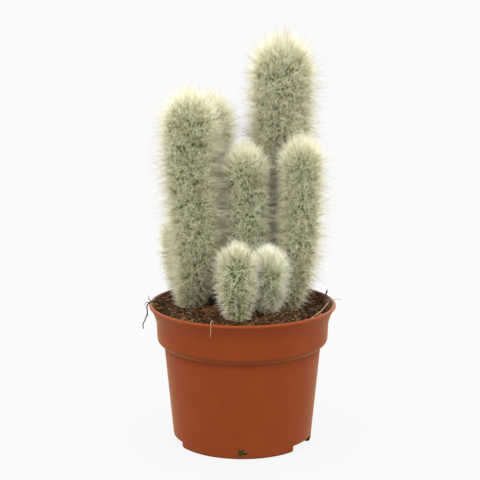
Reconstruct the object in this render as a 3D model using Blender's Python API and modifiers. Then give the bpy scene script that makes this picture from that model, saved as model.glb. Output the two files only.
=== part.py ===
"""A clustering column cactus in a round plastic nursery pot.

Metres, +Z up. The origin is the centre of the pot's foot, on the surface that the pot stands on.
The front is towards -Y. The pot is a turned shell, the soil is a plug that fills it, and each
stem is a ribbed column whose buried foot stands in its own socket in the soil.
"""

import math
from collections import namedtuple

import bmesh
import bpy

OBJECT_NAME = "potted_tall_cactus"
GAP = 0.0003  # left between pieces that touch

# Pot, outside
POT_HEIGHT = 0.0910
LIP_RADIUS = 0.0602
LIP_ROUND = 0.0012  # radius of the lip's rolled edge
LIP_ARC = (170, 135, 100, 65, 30, -5, -45)  # degrees, from the inner side over the top
LIP_OVERHANG = 0.0013  # the lip past the top of the flare
FLARE_HEIGHT = 0.0110
FLARE_DROP = 0.0027  # from the top of the lip to the top of the flare
FLARE_STEP = 0.0035  # the top of the flare past the band
FLARE_CURVE = 1.6
BAND_TAPER = 0.0003  # on the radius, as are the next two
BAND_DEPTH = 0.0220  # from the top of the lip to the top of the shoulder
SHOULDER_HEIGHT = 0.0075
SHOULDER_STEP = 0.0047
BODY_TAPER = 0.0058
FOOT_ROUND = 0.0020
FOOT_WIDTH = 0.0016
FOOT_HEIGHT = 0.0050  # clear height under the floor
FLARE_TOP_RADIUS = LIP_RADIUS - LIP_OVERHANG
BAND_RADIUS = FLARE_TOP_RADIUS - FLARE_STEP
BAND_FOOT_RADIUS = BAND_RADIUS - BAND_TAPER
BODY_TOP_RADIUS = BAND_FOOT_RADIUS - SHOULDER_STEP
BODY_FOOT_RADIUS = BODY_TOP_RADIUS - BODY_TAPER

# Pot, wall and openings
WALL = 0.0013
FLOOR_THICKNESS = 0.0014
POT_STEPS = 64
NOTCH_ANGLES = (62, 173, 285)  # degrees from the front, anticlockwise from above
NOTCH_WIDTH = 0.0246
NOTCH_HEIGHT = 0.0046
SLOT_ANGLES = (0, 118, 229)
SLOT_WIDTH = 0.0052
SLOT_HEIGHT = 0.0032
FLOOR_HOLE_RADIUS = 0.0032
FLOOR_HOLE_INSET = 0.0156  # from the foot of the body in to the ring of holes
FLOOR_HOLES = 6
CUTTER_REACH = 0.0060  # how far a cutter runs past the wall that it cuts

# Soil
SOIL_DEPTH_UNDER_LIP = 0.0050
SOIL_TILT = 0.0012
SOIL_MOUND = 0.0010
SOIL_MOUND_RADIUS = 0.0300
SOIL_RIPPLE = 0.0004
SOIL_RIPPLE_LENGTH = 0.0070
SOIL_RINGS = 5

# Stems
BURIED = 0.0080  # length of a stem's foot under the soil
STRAIGHT = 0.0030  # length of the straight foot above the soil
RIB_DEPTH = 0.10  # share of the radius
DOME = 1.15  # height of the rounded top, in radii
DOME_ANGLES = (18, 36, 54, 68, 80)
SOCKET_SIDES = 24

# plan: four places of the stem's middle line, evenly spaced from the soil to the top
Stem = namedtuple("Stem", "name plan top radius foot_radius widening ribs rings")
STEMS = (
    Stem("stem_left", ((-0.0340, 0.0060), (-0.0296, 0.0070), (-0.0336, 0.0085), (-0.0310, 0.0100)),
         0.2190, 0.0138, 0.0065, 0.020, 18, 9),
    Stem("stem_back_left", ((-0.0230, 0.0300), (-0.0226, 0.0320), (-0.0220, 0.0340), (-0.0198, 0.0340)),
         0.2147, 0.0110, 0.0065, 0.020, 16, 8),
    Stem("stem_tall", ((0.0190, 0.0330), (0.0230, 0.0360), (0.0250, 0.0380), (0.0264, 0.0400)),
         0.2520, 0.0165, 0.0090, 0.035, 20, 9),
    Stem("stem_right", ((0.0295, 0.0030), (0.0355, 0.0050), (0.0373, 0.0060), (0.0376, 0.0060)),
         0.1905, 0.0103, 0.0055, 0.016, 16, 8),
    Stem("stem_middle", ((0.0025, 0.0090), (0.0028, 0.0105), (0.0020, 0.0110), (0.0010, 0.0110)),
         0.1860, 0.0120, 0.0080, 0.020, 16, 8),
    Stem("stem_front", ((-0.0034, -0.0270), (-0.0037, -0.0265), (-0.0036, -0.0255), (-0.0034, -0.0250)),
         0.1280, 0.0084, 0.0064, 0.008, 14, 5),
    Stem("stem_offset_right", ((0.0160, -0.0070), (0.0162, -0.0100), (0.0164, -0.0120), (0.0176, -0.0135)),
         0.1220, 0.0074, 0.0045, 0.008, 12, 5),
    Stem("stem_offset_left", ((-0.0375, 0.0220), (-0.0412, 0.0240), (-0.0436, 0.0260), (-0.0446, 0.0270)),
         0.1350, 0.0058, 0.0042, 0.010, 12, 5),
)

# Loose pieces
THREAD_RADIUS = 0.0004
FIBRE_RADIUS = 0.0002
STRAND_RADIUS = 0.0002
STRAW_RADIUS = 0.0005
TWIG_RADIUS = 0.00055
STRAW_PLAN = (  # (in from the lip's inner edge, degrees from the front)
    (0.0078, 53.1), (0.0079, 64.9), (0.0065, 77.0), (0.0042, 87.9), (0.0015, 96.1),
)
TWIG_INSET = 0.0024  # from the edge of the soil
TWIG_ANGLE = 99.4
TWIG_BURIED = 0.0030
ROOT_INSET = 0.0047
MOSS_SIZE = (0.0022, 0.0013, 0.0012)

POT_COLOUR = (0.42, 0.115, 0.045)
SOIL_COLOUR = (0.045, 0.026, 0.015)
STEM_COLOUR = (0.30, 0.33, 0.20)
ROOT_COLOUR = (0.050, 0.040, 0.032)
STRAW_COLOUR = (0.52, 0.33, 0.15)
MOSS_COLOUR = (0.07, 0.07, 0.02)


# ---------------------------------------------------------------- scene and object helpers

def clear_scene():
    for obj in list(bpy.data.objects):
        bpy.data.objects.remove(obj, do_unlink=True)


def new_collection(name):
    collection = bpy.data.collections.new(name)
    bpy.context.scene.collection.children.link(collection)
    return collection


def new_material(name, colour, roughness):
    material = bpy.data.materials.new(name)
    material.use_nodes = True
    shader = material.node_tree.nodes["Principled BSDF"]
    shader.inputs["Base Color"].default_value = (*colour, 1.0)
    shader.inputs["Roughness"].default_value = roughness
    shader.inputs["Metallic"].default_value = 0.0
    return material


def add_part(name, data, material, collection):
    part = bpy.data.objects.new(name, data)
    collection.objects.link(part)
    data.materials.clear()
    data.materials.append(material)
    return part


def add_helper(name, data, collection):
    """A cutter or a guide, which isn't a part of the object."""
    helper = bpy.data.objects.new(name, data)
    helper.hide_render = True
    helper.display_type = "WIRE"
    collection.objects.link(helper)
    return helper


def cut(part, cutter):
    modifier = part.modifiers.new("cut_" + cutter.name, "BOOLEAN")
    modifier.operation = "DIFFERENCE"
    modifier.solver = "EXACT"
    modifier.object = cutter


def shade_round(mesh, angle):
    mesh.shade_smooth()
    mesh.set_sharp_from_angle(angle=math.radians(angle))


def turned_mesh(name, outline):
    """The half section of a turned shape, as a chain of edges in the XZ plane."""
    mesh = bpy.data.meshes.new(name)
    chain = [(i, i + 1) for i in range(len(outline) - 1)]
    mesh.from_pydata([(radius, 0.0, height) for radius, height in outline], chain, [])
    return mesh


def turn(part, steps):
    modifier = part.modifiers.new("turn", "SCREW")
    modifier.axis = "Z"
    modifier.angle = math.tau
    modifier.steps = steps
    modifier.render_steps = steps
    modifier.use_merge_vertices = True
    modifier.merge_threshold = 0.00001


def applied_mesh(part):
    """The part's mesh as its modifiers leave it, in place of the modifiers."""
    graph = bpy.context.evaluated_depsgraph_get()
    mesh = bpy.data.meshes.new_from_object(part.evaluated_get(graph))
    part.modifiers.clear()
    part.data = mesh
    return mesh


def tube(name, points, radius, material, collection):
    curve = bpy.data.curves.new(name, "CURVE")
    curve.dimensions = "3D"
    curve.bevel_depth = radius
    curve.bevel_resolution = 2
    curve.use_fill_caps = True
    spline = curve.splines.new("POLY")
    spline.points.add(len(points) - 1)
    for point, place in zip(spline.points, points):
        point.co = (*place, 1.0)
    return add_part(name, curve, material, collection)


# ---------------------------------------------------------------- outlines

def smoothstep(t):
    return t * t * (3 - 2 * t)


def spaced(count):
    return [i / count for i in range(count)]


def pot_side():
    """The outside of the pot under the lip, from the flare down to the foot."""
    flare_foot = POT_HEIGHT - FLARE_DROP - FLARE_HEIGHT
    flare_swing = FLARE_TOP_RADIUS - BAND_RADIUS
    flare = [
        (BAND_RADIUS + flare_swing * (1 - t) ** FLARE_CURVE, flare_foot + FLARE_HEIGHT * (1 - t))
        for t in spaced(4)
    ]
    band_foot = POT_HEIGHT - BAND_DEPTH
    shoulder_step = BODY_TOP_RADIUS - BAND_FOOT_RADIUS
    shoulder = [
        (BAND_FOOT_RADIUS + shoulder_step * smoothstep(t), band_foot - SHOULDER_HEIGHT * t)
        for t in spaced(5)
    ]
    shoulder_end = (BODY_TOP_RADIUS, band_foot - SHOULDER_HEIGHT)
    return flare + [(BAND_RADIUS, flare_foot)] + shoulder + [shoulder_end, (BODY_FOOT_RADIUS, 0.0)]


def offset_inward(line, distance):
    """A line of (radius, height) points that runs down, moved square to itself towards the axis."""
    moved = []
    for i, (radius, height) in enumerate(line):
        before = line[max(i - 1, 0)]
        after = line[min(i + 1, len(line) - 1)]
        run = math.hypot(after[0] - before[0], after[1] - before[1])
        across = (after[1] - before[1]) / run
        along = (after[0] - before[0]) / run
        moved.append((radius + distance * across, height - distance * along))
    return moved


def radius_at(line, height):
    """The radius of a line that runs down, at one height."""
    for (upper_radius, upper), (lower_radius, lower) in zip(line, line[1:]):
        if lower <= height <= upper:
            share = (height - lower) / (upper - lower)
            return lower_radius + share * (upper_radius - lower_radius)
    return line[0][0] if height > line[0][1] else line[-1][0]


def line_between(line, top, bottom):
    """The part of a line that runs down between two heights, with its ends on them."""
    inner = [point for point in line if bottom < point[1] < top]
    return [(radius_at(line, top), top)] + inner + [(radius_at(line, bottom), bottom)]


def arc(centre, radius, angles):
    return [
        (
            centre[0] + radius * math.cos(math.radians(angle)),
            centre[1] + radius * math.sin(math.radians(angle)),
        )
        for angle in angles
    ]


def pot_outline():
    floor_top = FOOT_HEIGHT + FLOOR_THICKNESS
    side = pot_side()
    inner = line_between(offset_inward(side, WALL), POT_HEIGHT - FLARE_DROP, floor_top)
    lip = arc((LIP_RADIUS - LIP_ROUND, POT_HEIGHT - LIP_ROUND), LIP_ROUND, LIP_ARC)
    foot_centre = (radius_at(side, FOOT_ROUND) - FOOT_ROUND, FOOT_ROUND)
    foot = arc(foot_centre, FOOT_ROUND, (0, -30, -60, -90))
    foot_inner = foot[-1][0] - FOOT_WIDTH
    under = [(foot_inner, 0.0), (foot_inner, FOOT_HEIGHT), (0.0, FOOT_HEIGHT)]
    return [(0.0, floor_top)] + inner[::-1] + lip + side[:-1] + foot + under


def soil_side():
    return offset_inward(pot_side(), WALL + GAP)


def soil_edge():
    """The radius of the soil's surface."""
    return radius_at(soil_side(), POT_HEIGHT - SOIL_DEPTH_UNDER_LIP)


def soil_height(x, y):
    """The soil's surface: a little higher at the left and between the stems."""
    tilt = -SOIL_TILT * x / LIP_RADIUS
    mound = SOIL_MOUND * math.exp(-(x * x + y * y) / SOIL_MOUND_RADIUS**2)
    ripple = SOIL_RIPPLE * math.sin(x / SOIL_RIPPLE_LENGTH + 1) * math.cos(y / SOIL_RIPPLE_LENGTH)
    return POT_HEIGHT - SOIL_DEPTH_UNDER_LIP + tilt + mound + ripple


# ---------------------------------------------------------------- pot and soil

def at_angle(radius, angle, height):
    """A point at an angle from the front, anticlockwise seen from above."""
    turned = math.radians(angle - 90)
    return (radius * math.cos(turned), radius * math.sin(turned), height)


def twig_place():
    x, y, _ = at_angle(soil_edge() - TWIG_INSET, TWIG_ANGLE, 0.0)
    return (x, y)


def box_cutter(name, size, place, angle, collection):
    """A box whose X runs around the pot and whose Y runs out from its axis."""
    mesh = bpy.data.meshes.new(name)
    shape = bmesh.new()
    bmesh.ops.create_cube(shape, size=1.0)
    bmesh.ops.scale(shape, vec=size, verts=shape.verts)
    shape.to_mesh(mesh)
    shape.free()
    cutter = add_helper(name, mesh, collection)
    cutter.location = place
    cutter.rotation_euler = (0.0, 0.0, math.radians(angle))
    return cutter


def round_cutter(name, radius, length, place, sides, collection):
    """An upright cylinder, with its flats outside the stated radius."""
    mesh = bpy.data.meshes.new(name)
    shape = bmesh.new()
    corner_radius = radius / math.cos(math.pi / sides)
    bmesh.ops.create_cone(
        shape, cap_ends=True, segments=sides, radius1=corner_radius, radius2=corner_radius, depth=length
    )
    shape.to_mesh(mesh)
    shape.free()
    cutter = add_helper(name, mesh, collection)
    cutter.location = place
    return cutter


def make_pot(parts, cutters):
    pot = add_part("pot", turned_mesh("pot", pot_outline()), new_material("pot", POT_COLOUR, 0.5), parts)
    turn(pot, POT_STEPS)
    shade_round(applied_mesh(pot), 35)

    reach = 2 * CUTTER_REACH
    for i, angle in enumerate(NOTCH_ANGLES):
        place = at_angle(BODY_FOOT_RADIUS, angle, 0.0)
        cut(pot, box_cutter(f"notch_{i}", (NOTCH_WIDTH, reach, 2 * NOTCH_HEIGHT), place, angle, cutters))
    for i, angle in enumerate(SLOT_ANGLES):
        place = at_angle(BODY_FOOT_RADIUS, angle, FOOT_HEIGHT)
        cut(pot, box_cutter(f"slot_{i}", (SLOT_WIDTH, reach, SLOT_HEIGHT), place, angle, cutters))
    for i in range(FLOOR_HOLES + 1):
        ring = BODY_FOOT_RADIUS - FLOOR_HOLE_INSET if i else 0.0
        place = at_angle(ring, i * 360 / FLOOR_HOLES, FOOT_HEIGHT)
        cut(pot, round_cutter(f"floor_hole_{i}", FLOOR_HOLE_RADIUS, reach, place, 16, cutters))
    return pot


def soil_outline():
    level = POT_HEIGHT - SOIL_DEPTH_UNDER_LIP
    bottom = FOOT_HEIGHT + FLOOR_THICKNESS + GAP
    side = line_between(soil_side(), level, bottom)
    surface = [(side[0][0] * ring, level) for ring in spaced(SOIL_RINGS)]
    return surface + side + [(0.0, bottom)]


def shape_surface(mesh):
    """Moves the flat top of the soil to its real height, its edge kept clear of the pot."""
    level = POT_HEIGHT - SOIL_DEPTH_UNDER_LIP
    side = soil_side()
    edge = soil_edge()
    for vertex in mesh.vertices:
        if abs(vertex.co.z - level) > GAP:
            continue
        height = soil_height(vertex.co.x, vertex.co.y)
        radius = math.hypot(vertex.co.x, vertex.co.y)
        if abs(radius - edge) < GAP:
            share = radius_at(side, height) / radius
            vertex.co.x *= share
            vertex.co.y *= share
        vertex.co.z = height


def make_soil(parts, cutters):
    soil = add_part("soil", turned_mesh("soil", soil_outline()), new_material("soil", SOIL_COLOUR, 0.95), parts)
    turn(soil, POT_STEPS)
    mesh = applied_mesh(soil)
    shape_surface(mesh)
    shade_round(mesh, 40)

    feet = [(stem.name, stem.plan[0], stem.foot_radius, BURIED) for stem in STEMS]
    feet.append(("twig", twig_place(), TWIG_RADIUS, TWIG_BURIED))
    for name, (x, y), radius, depth in feet:
        place = (x, y, soil_height(x, y))
        length = 2 * (depth + GAP)
        cut(soil, round_cutter("socket_" + name, radius + GAP, length, place, SOCKET_SIDES, cutters))
    return soil


# ---------------------------------------------------------------- stems

def through(values, t):
    """The smooth curve through four evenly spaced values, from t = 0 to 1."""
    total = 0.0
    for i, value in enumerate(values):
        weight = 1.0
        for j in range(4):
            if j != i:
                weight *= (3 * t - j) / (i - j)
        total += weight * value
    return total


def stem_place(stem, t):
    x = through([place[0] for place in stem.plan], t)
    y = through([place[1] for place in stem.plan], t)
    ground = soil_height(*stem.plan[0]) + STRAIGHT
    return (x, y, ground + t * (stem.top - ground))


def stem_rings(stem):
    """(place, radius) of each ring of the stem, from its buried foot to its top."""
    x, y = stem.plan[0]
    ground = soil_height(x, y)
    height = stem.top - ground - STRAIGHT
    dome_start = 1 - DOME * stem.radius / height

    def width(t):
        swell = 1 - math.exp(-t * height / stem.widening)
        return stem.foot_radius + (stem.radius - stem.foot_radius) * swell

    rings = [((x, y, ground - BURIED), stem.foot_radius)]
    for i in range(stem.rings + 1):
        # the rings lie closer together near the foot, where the stem widens
        t = dome_start * (i / stem.rings) ** 1.5
        rings.append((stem_place(stem, t), width(t)))
    for angle in DOME_ANGLES:
        t = dome_start + (1 - dome_start) * math.sin(math.radians(angle))
        rings.append((stem_place(stem, t), width(dome_start) * math.cos(math.radians(angle))))
    return rings


def rib_guide(ribs, guides):
    """A star of unit radius, with a crest and a valley for each rib, drawn clockwise."""
    curve = bpy.data.curves.new(f"ribs_{ribs}", "CURVE")
    curve.dimensions = "2D"
    curve.fill_mode = "NONE"
    spline = curve.splines.new("POLY")
    spline.points.add(2 * ribs - 1)
    spline.use_cyclic_u = True
    for i, point in enumerate(spline.points):
        angle = -math.tau * i / (2 * ribs)
        radius = 1.0 if i % 2 == 0 else 1.0 - RIB_DEPTH
        point.co = (radius * math.cos(angle), radius * math.sin(angle), 0.0, 1.0)
    return add_helper(f"ribs_{ribs}", curve, guides)


def make_stem(stem, guide, parts):
    rings = stem_rings(stem)
    curve = bpy.data.curves.new(stem.name, "CURVE")
    curve.dimensions = "3D"
    curve.bevel_mode = "OBJECT"
    curve.bevel_object = guide
    curve.use_fill_caps = True
    spline = curve.splines.new("POLY")
    spline.points.add(len(rings) - 1)
    for point, (place, radius) in zip(spline.points, rings):
        point.co = (*place, 1.0)
        point.radius = radius
    return add_part(stem.name, curve, new_material(stem.name, STEM_COLOUR, 0.8), parts)


def make_stems(parts, guides):
    rib_guides = {ribs: rib_guide(ribs, guides) for ribs in sorted({stem.ribs for stem in STEMS})}
    for stem in STEMS:
        make_stem(stem, rib_guides[stem.ribs], parts)


# ---------------------------------------------------------------- loose pieces

def make_root_thread(parts):
    """A dry root that comes up out of the soil, crosses the lip and hangs down outside it."""
    reach = THREAD_RADIUS + GAP
    over = POT_HEIGHT + reach
    outside = -(LIP_RADIUS + reach)
    y = -0.0040
    start = (ROOT_INSET - soil_edge(), 0.0)
    points = [
        (*start, soil_height(*start) + reach),
        (start[0] - 0.0020, -0.0010, over - 0.0010),
        (0.0042 - LIP_RADIUS, -0.0020, over + 0.0008),
        (0.0014 - LIP_RADIUS, -0.0032, over + 0.0004),
        (outside - 0.0002, y, over - 0.0012),
        (outside - 0.0004, y, POT_HEIGHT - 0.0030),
        (outside, y, POT_HEIGHT - 0.0060),
        (outside - 0.0010, y, POT_HEIGHT - 0.0090),
        (outside - 0.0024, y, POT_HEIGHT - 0.0122),
        (outside - 0.0032, y, POT_HEIGHT - 0.0145),
        (outside - 0.0032, y, POT_HEIGHT - 0.0165),
    ]
    tube("root_thread", points, THREAD_RADIUS, new_material("root_thread", ROOT_COLOUR, 0.8), parts)


def make_lip_fibre(parts):
    """A thin fibre that lies across the lip at the right."""
    over = POT_HEIGHT + FIBRE_RADIUS + GAP
    points = [
        (LIP_RADIUS - 0.0062, 0.0040, over),
        (LIP_RADIUS - 0.0027, 0.0046, over + 0.0001),
        (LIP_RADIUS + 0.0008, 0.0050, over + 0.0004),
        (LIP_RADIUS + 0.0041, 0.0050, over + 0.0004),
    ]
    tube("lip_fibre", points, FIBRE_RADIUS, new_material("lip_fibre", STRAW_COLOUR, 0.7), parts)


def make_coir_strand(parts):
    """A fine strand that hooks over the front of the lip."""
    over = POT_HEIGHT + STRAND_RADIUS + GAP
    x = -0.0195
    lip_edge = -math.sqrt((LIP_RADIUS + STRAND_RADIUS + GAP) ** 2 - x * x)
    start = (x + 0.0020, lip_edge + 0.0085)
    points = [
        (*start, soil_height(*start) + STRAND_RADIUS + GAP),
        (-0.0182, lip_edge + 0.0050, over + 0.0008),
        (-0.0190, lip_edge + 0.0022, over + 0.0016),
        (x, lip_edge + 0.0003, over + 0.0006),
        (x + 0.0002, lip_edge - 0.0003, over - 0.0020),
        (x, lip_edge - 0.0003, over - 0.0050),
        (x - 0.0003, lip_edge - 0.0002, over - 0.0078),
    ]
    tube("coir_strand", points, STRAND_RADIUS, new_material("coir_strand", STRAW_COLOUR, 0.7), parts)


def make_straw_fibre(parts):
    """A straw with its lower end on the soil and its upper end against the lip at the right."""
    lip_inside = LIP_RADIUS - 2 * LIP_ROUND
    plan = [at_angle(lip_inside - inset, angle, 0.0)[:2] for inset, angle in STRAW_PLAN]
    low_end = soil_height(*plan[0]) + STRAW_RADIUS + GAP
    rise = POT_HEIGHT - LIP_ROUND - low_end
    points = [(x, y, low_end + rise * i / (len(plan) - 1)) for i, (x, y) in enumerate(plan)]
    tube("straw_fibre", points, STRAW_RADIUS, new_material("straw_fibre", STRAW_COLOUR, 0.7), parts)


def make_twig(parts):
    """A short broken twig that stands in the soil against the inside of the lip."""
    x, y = twig_place()
    ground = soil_height(x, y)
    points = [
        (x, y, ground - TWIG_BURIED),
        (x, y, ground + 0.0010),
        (x + 0.0006, y + 0.0006, ground + 0.0055),
        (x + 0.0022, y + 0.0016, ground + 0.0115),
    ]
    tube("twig", points, TWIG_RADIUS, new_material("twig", ROOT_COLOUR, 0.8), parts)


def make_drain_moss(parts):
    """A crumb of moss and soil caught in the front drain slot."""
    mesh = bpy.data.meshes.new("drain_moss")
    shape = bmesh.new()
    bmesh.ops.create_icosphere(shape, subdivisions=2, radius=1.0)
    bmesh.ops.scale(shape, vec=MOSS_SIZE, verts=shape.verts)
    shape.to_mesh(mesh)
    shape.free()
    mesh.shade_smooth()
    moss = add_part("drain_moss", mesh, new_material("drain_moss", MOSS_COLOUR, 0.95), parts)
    moss.location = at_angle(radius_at(pot_side(), FOOT_HEIGHT) - WALL / 2, SLOT_ANGLES[0], FOOT_HEIGHT)


# ---------------------------------------------------------------- the object

def main():
    clear_scene()
    parts = new_collection(OBJECT_NAME)
    helpers = new_collection("cutters")
    make_pot(parts, helpers)
    make_soil(parts, helpers)
    make_stems(parts, helpers)
    make_root_thread(parts)
    make_lip_fibre(parts)
    make_coir_strand(parts)
    make_straw_fibre(parts)
    make_twig(parts)
    make_drain_moss(parts)


main()
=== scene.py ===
"""The look of the potted column cactus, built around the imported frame.

Every stem is rebuilt as ribbed skin under a coat of bristles: short stout strokes that lie on the
flesh, long fine down, spines that stand straight out, and a tuft at the growing tip. The pot is
turned from its profile and cut through at its openings. The soil is a bed of peat with crumbs,
fibres and roots. Every place is worked out from the frame, in metres.
"""

import math
from collections import namedtuple

import bmesh
import bpy
import numpy as np
from mathutils import Matrix, Quaternion, Vector, noise
from mathutils.bvhtree import BVHTree


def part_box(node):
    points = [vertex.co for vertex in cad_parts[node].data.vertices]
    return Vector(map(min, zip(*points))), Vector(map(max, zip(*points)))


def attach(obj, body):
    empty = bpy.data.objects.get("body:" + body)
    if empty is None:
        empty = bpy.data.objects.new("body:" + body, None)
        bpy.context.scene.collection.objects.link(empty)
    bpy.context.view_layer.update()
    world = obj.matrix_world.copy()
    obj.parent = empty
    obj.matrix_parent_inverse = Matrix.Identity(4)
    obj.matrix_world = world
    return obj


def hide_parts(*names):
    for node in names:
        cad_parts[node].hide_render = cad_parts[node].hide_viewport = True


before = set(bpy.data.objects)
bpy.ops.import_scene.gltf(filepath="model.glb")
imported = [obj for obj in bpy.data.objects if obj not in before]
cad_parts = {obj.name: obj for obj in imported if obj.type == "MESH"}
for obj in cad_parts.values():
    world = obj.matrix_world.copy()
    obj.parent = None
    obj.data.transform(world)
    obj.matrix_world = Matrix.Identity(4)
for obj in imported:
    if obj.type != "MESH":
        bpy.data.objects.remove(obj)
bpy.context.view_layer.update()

MM = 0.001

# ---- sizes and looks

CAMERA_PLACE = (-0.0016, -0.966, 0.332)
CAMERA_TILT = 78.31  # degrees from straight down
CAMERA_LENS = 115.6

# The bristle palette: name, where its rows end, colour at the root and at the tip
BRISTLE_COLOURS = (
    ("white", 0.30, (0.95, 0.98, 0.68), (0.98, 0.98, 0.86)),
    ("cream", 0.55, (0.83, 0.81, 0.43), (0.91, 0.89, 0.77)),
    ("straw", 0.72, (0.67, 0.57, 0.23), (0.85, 0.79, 0.62)),
    ("amber", 0.86, (0.52, 0.34, 0.15), (0.77, 0.66, 0.50)),
    ("brown", 0.96, (0.34, 0.24, 0.15), (0.42, 0.32, 0.22)),
    ("dark", 1.00, (0.06, 0.045, 0.03), (0.05, 0.04, 0.03)),
)
PALETTE_ROWS = 96
PALETTE_BLEND = 0.004  # the stretch over which one colour of the palette turns into the next

# Shares of the six bristle colours, from white to dark
STROKE_SHARES = (0.88, 0.10, 0.02, 0.0, 0.0, 0.0)
DOWN_SHARES = (0.34, 0.50, 0.13, 0.03, 0.0, 0.0)
YOUNG_SHARES = (0.22, 0.50, 0.18, 0.09, 0.01, 0.0)
OLD_SHARES = (0.04, 0.22, 0.38, 0.28, 0.08, 0.0)
DRY_SHARES = (0.0, 0.15, 0.35, 0.33, 0.15, 0.02)
WHITE_SHARES = (0.80, 0.18, 0.02, 0.0, 0.0, 0.0)
PALE_SPINES = (0.15, 0.30, 0.25, 0.18, 0.12, 0.0)
GREY_SPINES = (0.05, 0.22, 0.27, 0.14, 0.29, 0.03)

# One coat for each stem. strokes, down and spines are the number from each areole and their length,
# and tuft is the number on the whole tip. Lengths, the spacing of areoles and the bend of a
# bristle's middle are in mm, and down_lift is in degrees above the skin.
Coat = namedtuple(
    "Coat",
    "ribs spacing strokes down down_lift spines tuft skin bend spine_shares tuft_shares",
    defaults=[0.0, PALE_SPINES, YOUNG_SHARES],
)
COATS = {
    "stem_tall": Coat(24, 4.8, strokes=(26, 5.6), down=(21, 14.5), down_lift=60, spines=(5, 18.0),
                      tuft=(1700, 14.0), skin="olive", spine_shares=GREY_SPINES),
    "stem_left": Coat(22, 4.6, strokes=(19, 4.8), down=(18, 12.5), down_lift=58, spines=(6, 18.5),
                      tuft=(1500, 13.0), skin="green"),
    "stem_back_left": Coat(20, 4.2, strokes=(26, 5.8), down=(26, 13.0), down_lift=54, spines=(5, 15.0),
                           tuft=(1600, 13.0), skin="woolly"),
    "stem_right": Coat(19, 4.4, strokes=(17, 4.8), down=(17, 11.5), down_lift=57, spines=(6, 17.5),
                       tuft=(1300, 13.0), skin="green"),
    "stem_middle": Coat(20, 4.4, strokes=(18, 4.6), down=(19, 12.5), down_lift=58, spines=(4, 15.5),
                        tuft=(1200, 13.0), skin="leaf"),
    "stem_front": Coat(16, 3.6, strokes=(8, 4.0), down=(11, 11.5), down_lift=58, spines=(4, 12.5),
                       tuft=(520, 12.5), skin="leaf", bend=0.3),
    "stem_offset_right": Coat(14, 3.4, strokes=(7, 4.2), down=(18, 13.5), down_lift=54, spines=(5, 13.5),
                              tuft=(1500, 13.5), skin="leaf", bend=0.4, spine_shares=WHITE_SHARES,
                              tuft_shares=WHITE_SHARES),
    "stem_offset_left": Coat(13, 3.4, strokes=(16, 4.4), down=(28, 10.0), down_lift=50, spines=(4, 11.5),
                             tuft=(900, 10.5), skin="woolly", bend=0.3),
}

# How a layer of bristles leaves its areoles. Degrees for spread, mm for scatter and the radii;
# vary is the share that a bristle can lose of its length.
Layer = namedtuple("Layer", "spread vary scatter least_radius more_radius")
STROKES = Layer(15, 0.50, 0.9, 0.08, 0.15)
DOWN = Layer(19, 0.45, 0.6, 0.05, 0.04)
SPINES = Layer(12, 0.50, 0.3, 0.095, 0.045)
STROKE_LIFT = 24  # degrees above the skin
SPINE_LIFT = 72
LIFT_LIMITS = (4, 88)
ROOT_DEPTH = 0.4 * MM  # how deep a bristle's root sits in the skin
CLUMPING = 0.30  # how far the bristles of one areole lean the same way
YOUNG_ZONE = 1.5  # radii down from the tip where the growth is young
YOUNG_LIFT = 20  # degrees more at the tip
YOUNG_RISE = 0.9  # how far the young bristles lean up along the stem
SHORTEST = 0.38  # length just over the soil, as a share
BASE_GROWTH = 0.032  # the stretch over which the bristles reach their full length
SOIL_COVER = 0.0035  # how far each stem's flesh goes on below the soil
TUFT_ZONE = 1.7  # radii down from the tip
TUFT_RISE = 0.55
TUFT_SPREAD = 0.22
OLD_ZONE = 0.42  # share of the stem, from the soil up, where the growth is old
OLD_MOST = 0.75
DRY_MOST = 0.85

# Dark and light colour of the flesh under the coat
SKIN_COLOURS = {
    "green": ((0.032, 0.056, 0.011), (0.12, 0.17, 0.040)),
    "leaf": ((0.026, 0.050, 0.010), (0.10, 0.16, 0.034)),
    "woolly": ((0.45, 0.45, 0.28), (0.70, 0.69, 0.48)),
    "olive": ((0.042, 0.055, 0.014), (0.15, 0.16, 0.050)),
}

# The pot, outside. Metres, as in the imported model.
LIP_RADIUS = 0.0602
LIP_ROUND = 0.0012
FLARE_HEIGHT = 0.0110
FLARE_DROP = 0.0027
FLARE_TOP_RADIUS = 0.0589
BAND_RADIUS = 0.0554
BAND_FOOT_RADIUS = 0.0551
BAND_DEPTH = 0.0220
SHOULDER_HEIGHT = 0.0052
SHOULDER_TURN = 44  # degrees that the band's foot curls in before it meets the body
BODY_TOP_RADIUS = 0.0504
BODY_FOOT_RADIUS = 0.0446
FOOT_ROUND = 0.0020
FOOT_WIDTH = 0.0016
FOOT_HEIGHT = 0.0050
WALL = 0.0013
FLOOR_THICKNESS = 0.0014
POT_STEPS = 240
LIP_ARC = (175, -55, 24)  # from and to, in degrees, and the number of points
FOOT_ARC = (-8, -90, 10)
FLARE_CURVE = 1.6
CURVE_POINTS = 20
BODY_POINTS = 24
CORNER = 0.0002  # the small step that keeps two corners of the profile apart
NOTCHES = (62, 173, 285)  # degrees from the front
NOTCH_SIZE = (0.0246, 0.0120, 0.0092)
SLOTS = (0, 118, 229)
SLOT_SIZE = (0.0052, 0.0120, 0.0032)
FLOOR_HOLES = 6
FLOOR_HOLE_RADIUS = 0.0032
FLOOR_HOLE_RING = 0.0290
FLOOR_HOLE_DEPTH = 0.01
SHARP_ANGLE = 30  # degrees

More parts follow.
